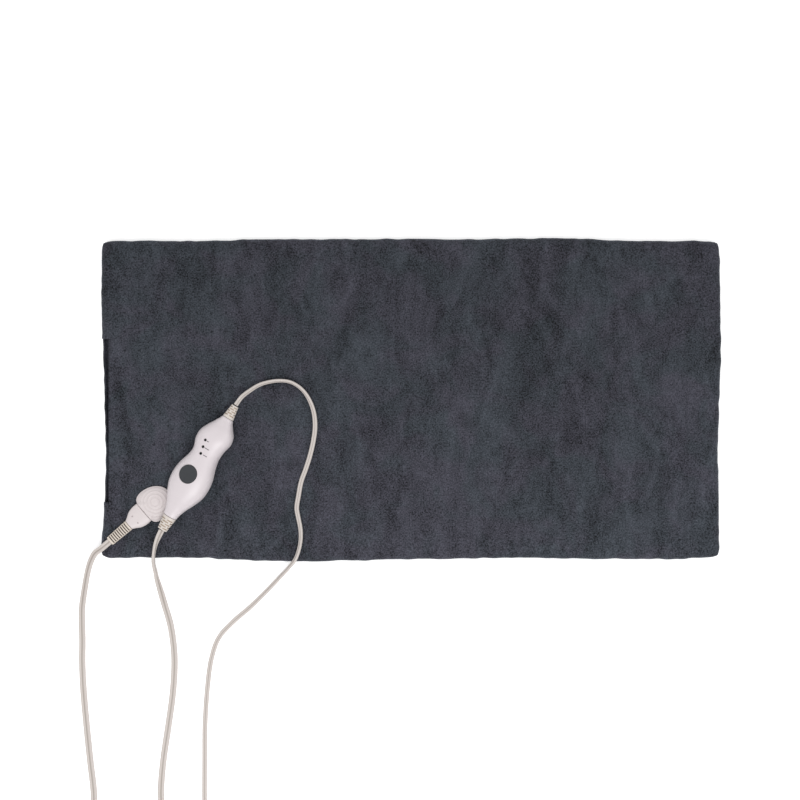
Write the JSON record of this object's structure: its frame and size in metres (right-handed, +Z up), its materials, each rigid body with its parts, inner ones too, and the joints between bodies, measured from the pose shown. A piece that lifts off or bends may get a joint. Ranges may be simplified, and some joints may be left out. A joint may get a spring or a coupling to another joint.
{
  "type": "heating pad",
  "caption": "Flat plush electric heating pad with a push-button hand controller, a plug-in pad lead and a coiled mains lead with its plug.",
  "frame": {"origin": "centre of the pad's underside, on the surface that the pad lies on", "axes": "+X along the pad's length, with the socket towards -X, +Y across it away from the leads, +Z up out of the front cover"},
  "size_m": [0.6371, 0.6505, 0.0408],
  "materials": {
    "plush": "brushed plush, matte",
    "strip": "hook and loop, matte",
    "wadding": "matte",
    "felt": "matte",
    "wire": "smooth insulation",
    "thermostat": "matte",
    "shell": "pearly gloss",
    "inner_plastic": "matte",
    "cord": "satin",
    "button": "satin",
    "lens": "smoked",
    "led": "clear",
    "board": "solder mask",
    "chip": "matte",
    "film": "dipped",
    "brass": "bright",
    "steel": "zinc plated"
  },
  "bodies": {
    "pad": {"board_fuse": "led", "capacitor": "film", "case_screw_1": "steel", "case_screw_2": "steel", "circuit_board": "board", "control_chip": "chip", "controller_base": "shell", "controller_relief_mains": "cord", "controller_relief_pad": "cord", "controller_top": "shell", "cord_tie": "strip", "cover_back": "plush", "cover_front": "plush", "felt_lower": "felt", "felt_upper": "felt", "heating_wire": "wire", "hook_strip": "strip", "led_1": "led", "led_2": "led", "led_3": "led", "light_pipe_1": "lens", "light_pipe_2": "lens", "light_pipe_3": "lens", "loop_strip": "strip", "mains_coil": "cord", "mains_lead": "cord", "mains_plug": "cord", "mains_plug_relief": "cord", "mains_tail": "cord", "pad_lead": "cord", "plug_blade_a": "brass", "plug_blade_b": "brass", "socket_base": "shell", "socket_cap": "shell", "socket_clamp_plate": "inner_plastic", "socket_pin_a": "brass", "socket_pin_b": "brass", "socket_screw_a": "steel", "socket_screw_b": "steel", "tact_switch": "chip", "thermal_fuse": "thermostat", "thermostat_left": "thermostat", "thermostat_right": "thermostat", "triac": "chip", "wadding": "wadding"},
    "connector": {"connector_body": "shell", "connector_sleeve_a": "brass", "connector_sleeve_b": "brass", "connector_relief": "cord"},
    "button": {"button": "button"},
    "switch_plunger": {"tact_plunger": "led"}
  },
  "joints": [
    {"name": "connector_pull", "type": "slide", "parent": "pad", "child": "connector", "axis": [-0.7604, -0.6494, 0], "range_m": [0, 0.014], "deforming": ["pad_lead"]},
    {"name": "button_press", "type": "slide", "parent": "pad", "child": "button", "axis": [0.1936, -0.1145, -0.9744], "range_m": [0, 0.0008], "stiffness_N_per_m": 1500},
    {"name": "plunger_press", "type": "slide", "parent": "pad", "child": "switch_plunger", "axis": [0.1936, -0.1145, -0.9744], "range_m": [0, 0.0008]}
  ],
  "couplings": [
    {"joint": "plunger_press", "follows": "button_press", "ratio": 1}
  ]
}
